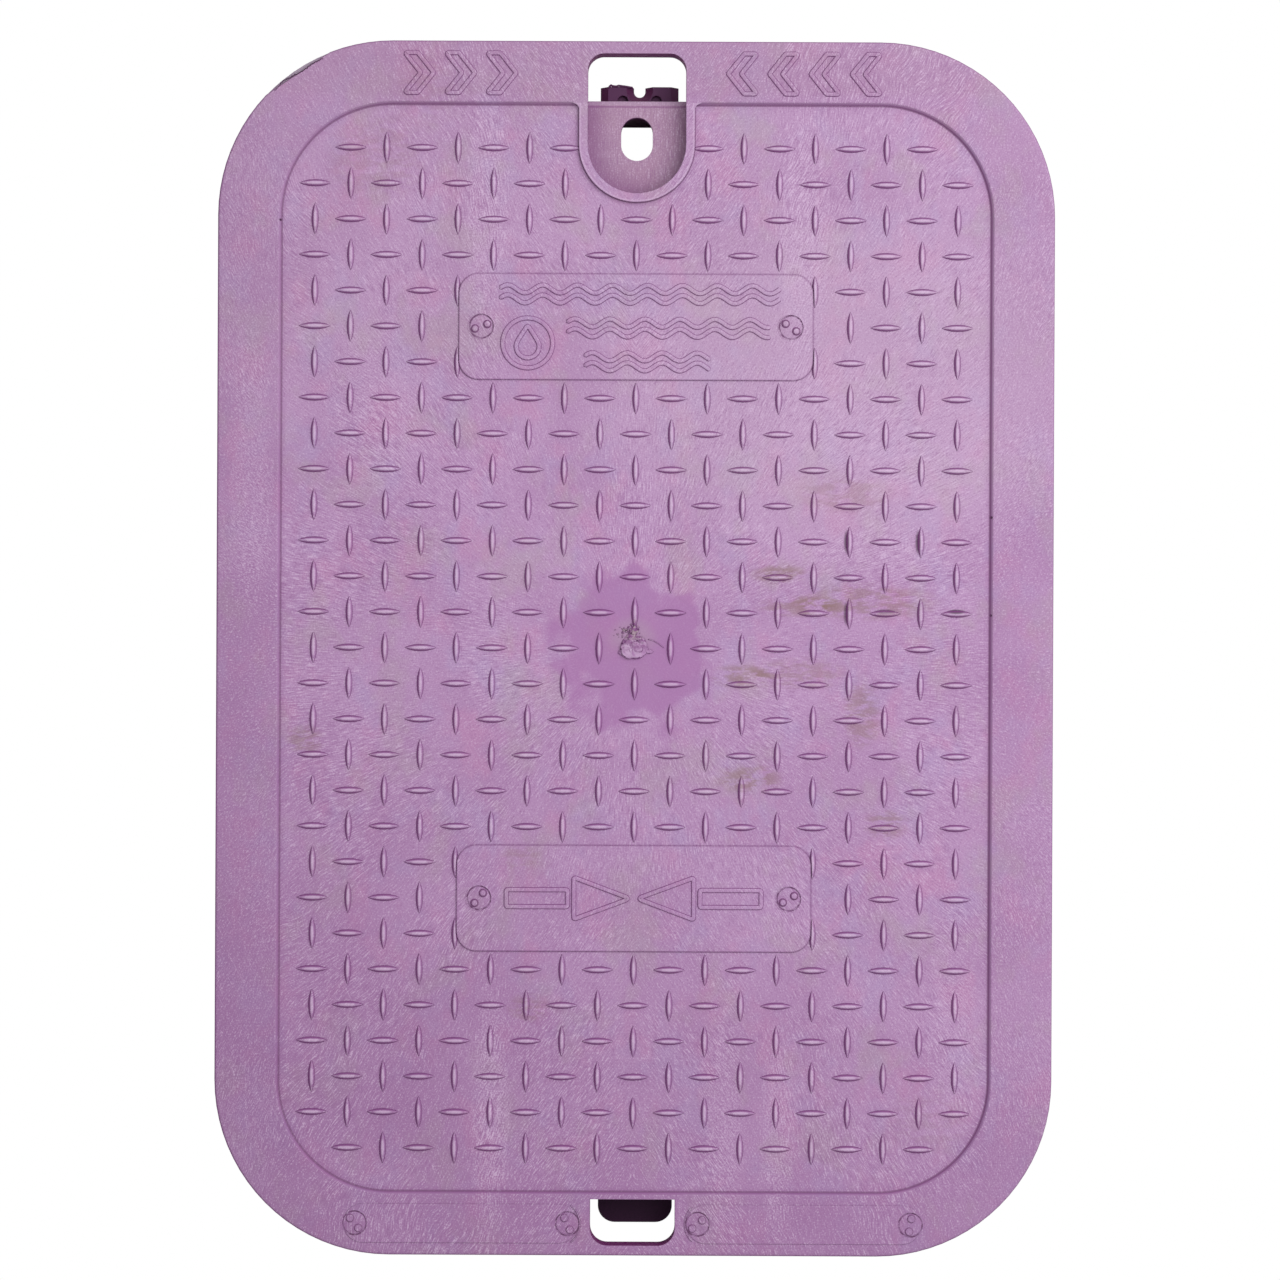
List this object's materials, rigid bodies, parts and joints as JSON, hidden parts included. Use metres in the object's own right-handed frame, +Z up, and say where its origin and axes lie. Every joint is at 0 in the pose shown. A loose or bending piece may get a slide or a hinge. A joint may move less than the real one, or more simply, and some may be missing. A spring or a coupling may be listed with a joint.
{
  "type": "valve box cover",
  "caption": "Flat rectangular plastic cover with a tread field, an overlapping border, a finger hole, a recessed bolt slot and two rim hooks.",
  "frame": {"origin": "middle of the base, on the plane of the skirt's lower edge", "axes": "+Z up out of the ground, +Y along the cover towards the finger hole, +X across the cover"},
  "size_m": [0.335, 0.486, 0.0447],
  "materials": {
    "purple_plastic": "moulded polyolefin, sun faded and scuffed by footsteps, with fine pale scratches"
  },
  "bodies": {
    "root": {"cover": "purple_plastic"}
  },
  "joints": []
}
